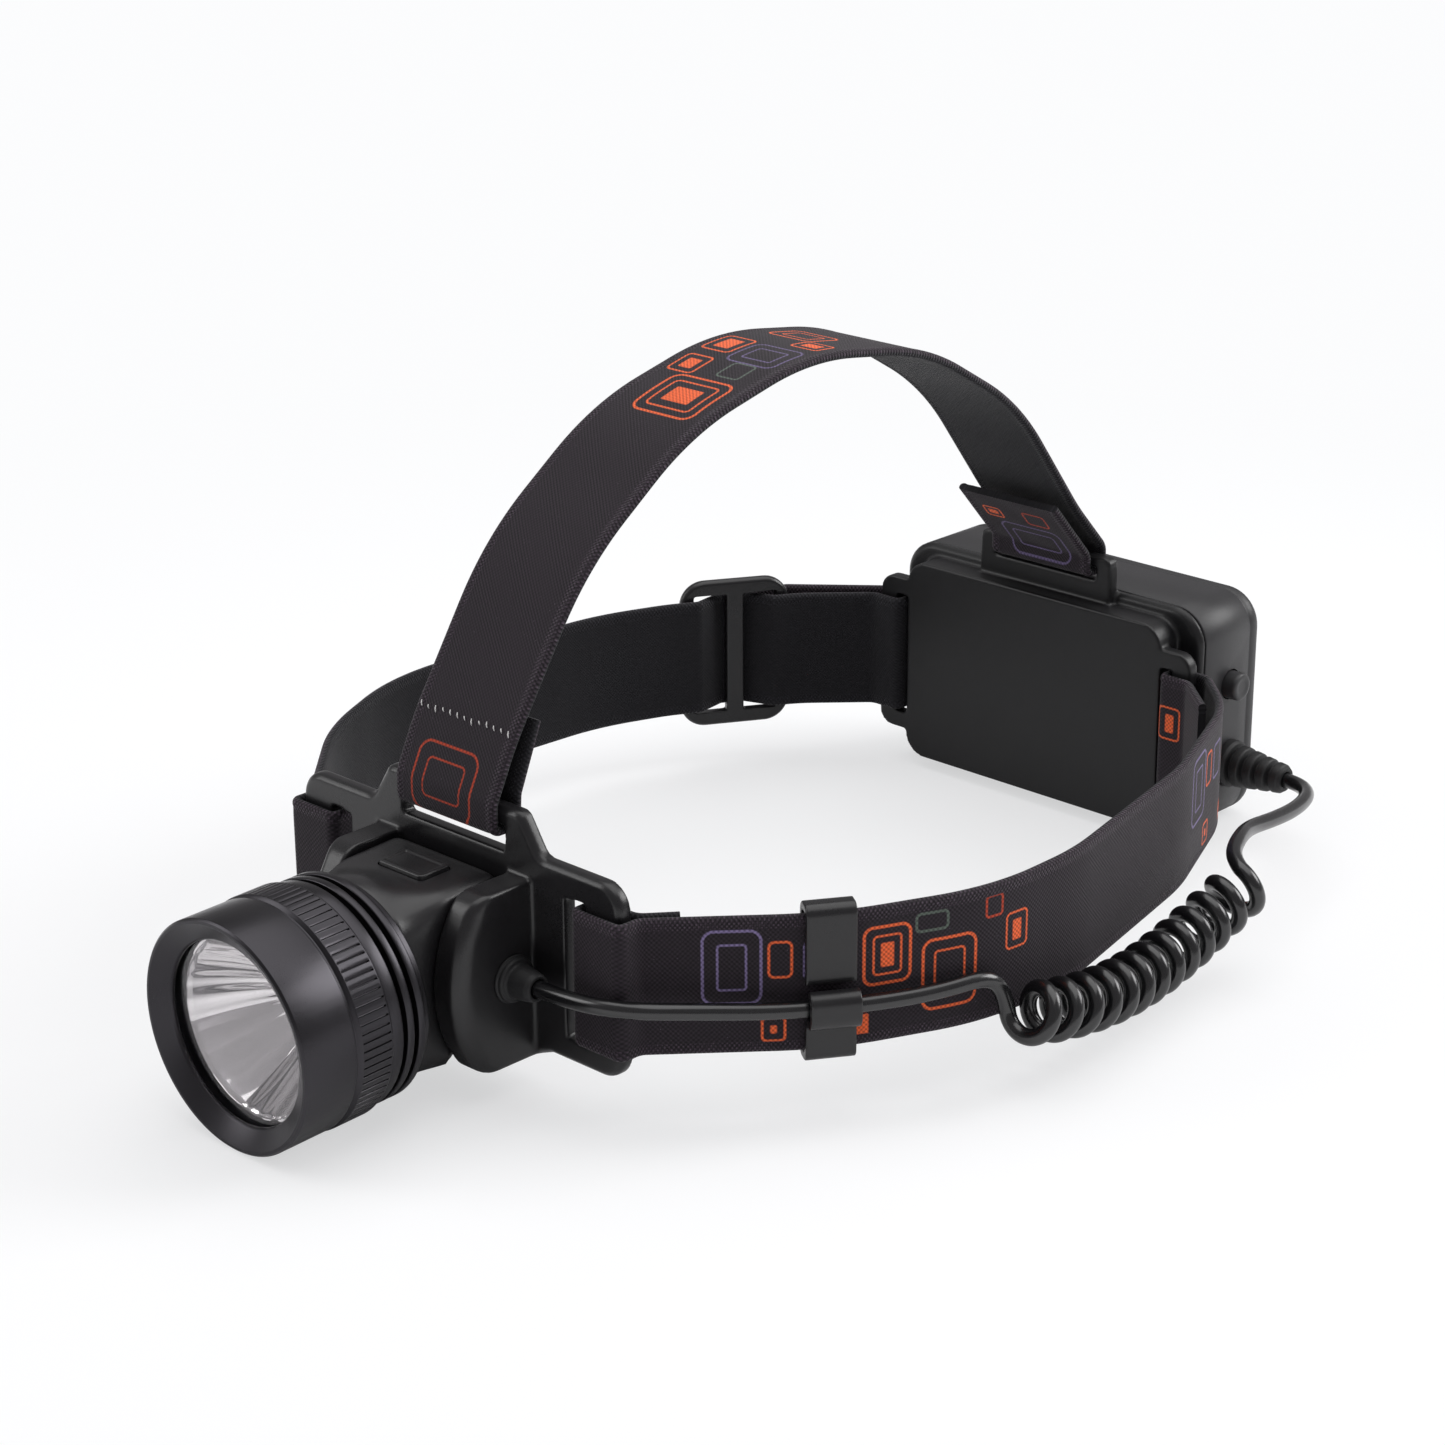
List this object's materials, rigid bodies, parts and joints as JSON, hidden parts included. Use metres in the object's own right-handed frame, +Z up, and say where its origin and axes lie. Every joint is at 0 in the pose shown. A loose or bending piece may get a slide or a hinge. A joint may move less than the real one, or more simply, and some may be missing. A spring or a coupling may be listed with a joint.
{
  "type": "miner's cap lamp",
  "caption": "Headlamp for miners: tilting lamp on a slotted bracket, elastic headband with top strap, rear battery box and a coiled cord.",
  "frame": {"origin": "middle of the base of the lamp without its cord, at floor level", "axes": "+Y from the lamp to the battery box, +Z up through the crown, +X to the cord's side"},
  "size_m": [0.1666, 0.2388, 0.1124],
  "materials": {
    "black_plastic": "fine satin moulding",
    "black_metal": "black anodised",
    "rubber_parts": "matt",
    "cord_jacket": "satin cable jacket",
    "lens_glass": "clear",
    "mirror_metal": "polished",
    "led_phosphor": "phosphor under a clear dome",
    "board_white": "white solder mask",
    "board_green": "solder mask",
    "board_black": "moulded",
    "switch_metal": "pressed",
    "cell_wrap": "shrink wrap",
    "strap_fabric": "printed elastic webbing"
  },
  "bodies": {
    "frame": {"front_bracket": "black_plastic", "pivot_pin_left": "black_plastic", "cord_bush": "black_plastic", "headband_right": "strap_fabric", "headband_left": "strap_fabric", "top_strap": "strap_fabric", "strap_adjuster": "black_plastic", "cord_clip": "black_plastic", "battery_case": "black_plastic", "box_seal": "rubber_parts", "battery_cover": "black_plastic", "battery_cell_rear": "cell_wrap", "battery_cell_front": "cell_wrap", "charge_board": "board_green", "button_switch": "board_black", "strain_relief": "rubber_parts", "cord": "cord_jacket"},
    "lamp": {"lamp_housing": "black_plastic", "dome_switch": "switch_metal", "driver_board": "board_green", "lamp_barrel": "black_metal", "bezel_ring": "black_metal", "lens": "lens_glass", "lens_seal": "rubber_parts", "reflector": "mirror_metal", "led_board": "board_white", "led_chip": "led_phosphor"},
    "switch_key": {"switch_key": "rubber_parts"},
    "power_button": {"power_button": "rubber_parts"}
  },
  "joints": [
    {"name": "lamp_tilt", "type": "hinge", "parent": "frame", "child": "lamp", "pos_m": [0, -0.07239, 0.022], "axis": [1, 0, 0], "range_deg": [-1.5, 45]},
    {"name": "key_press", "type": "slide", "parent": "lamp", "child": "switch_key", "axis": [0, 0.0262, -0.9997], "range_m": [0, 0.0008], "stiffness_N_per_m": 900, "springref_m": -0.0006},
    {"name": "button_press", "type": "slide", "parent": "frame", "child": "power_button", "axis": [-1, 0, 0], "range_m": [0, 0.001], "stiffness_N_per_m": 900, "springref_m": -0.0006}
  ]
}
